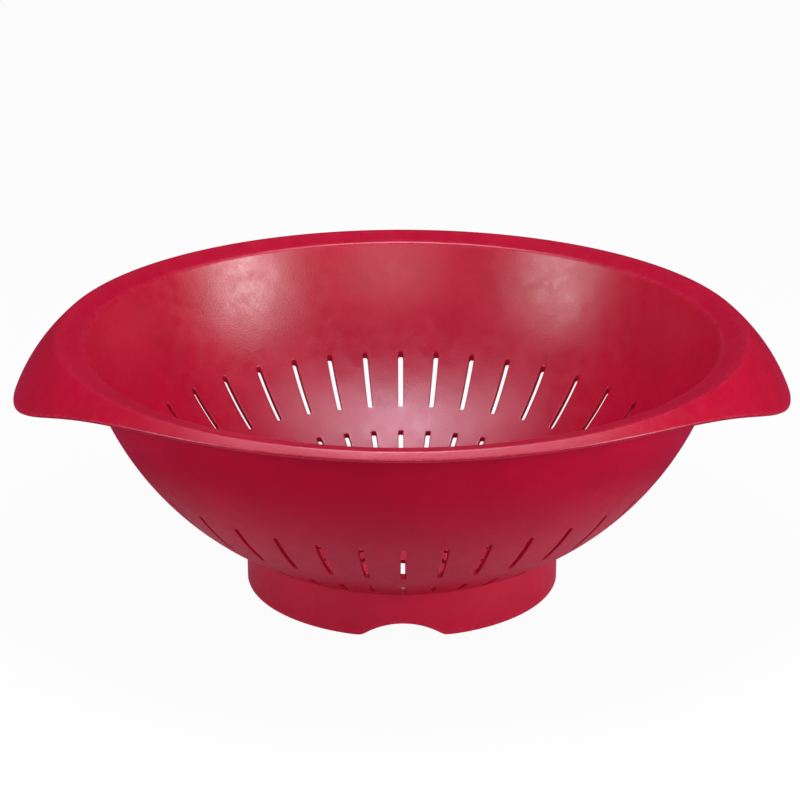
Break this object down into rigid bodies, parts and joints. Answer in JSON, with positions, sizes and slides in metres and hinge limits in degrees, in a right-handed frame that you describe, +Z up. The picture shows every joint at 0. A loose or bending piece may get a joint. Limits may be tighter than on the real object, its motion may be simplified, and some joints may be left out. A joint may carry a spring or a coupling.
{
  "type": "colander",
  "caption": "Round plastic colander with a slotted bowl, a ring foot with arched gaps and a wide rim that droops into a grip on each side.",
  "frame": {"origin": "on the surface that the colander stands on, under the middle of the bowl", "axes": "+Z up the bowl's axis, +X towards the right-hand grip, the front looks along -Y"},
  "size_m": [0.3398, 0.307, 0.1171],
  "materials": {
    "plastic": "satin moulded polypropylene, dyed cherry red all through"
  },
  "bodies": {
    "root": {"foot_ring": "plastic", "drain_floor": "plastic", "strainer_wall": "plastic", "upper_wall": "plastic", "rim_flange": "plastic", "right_handle": "plastic", "left_handle": "plastic"}
  },
  "joints": []
}
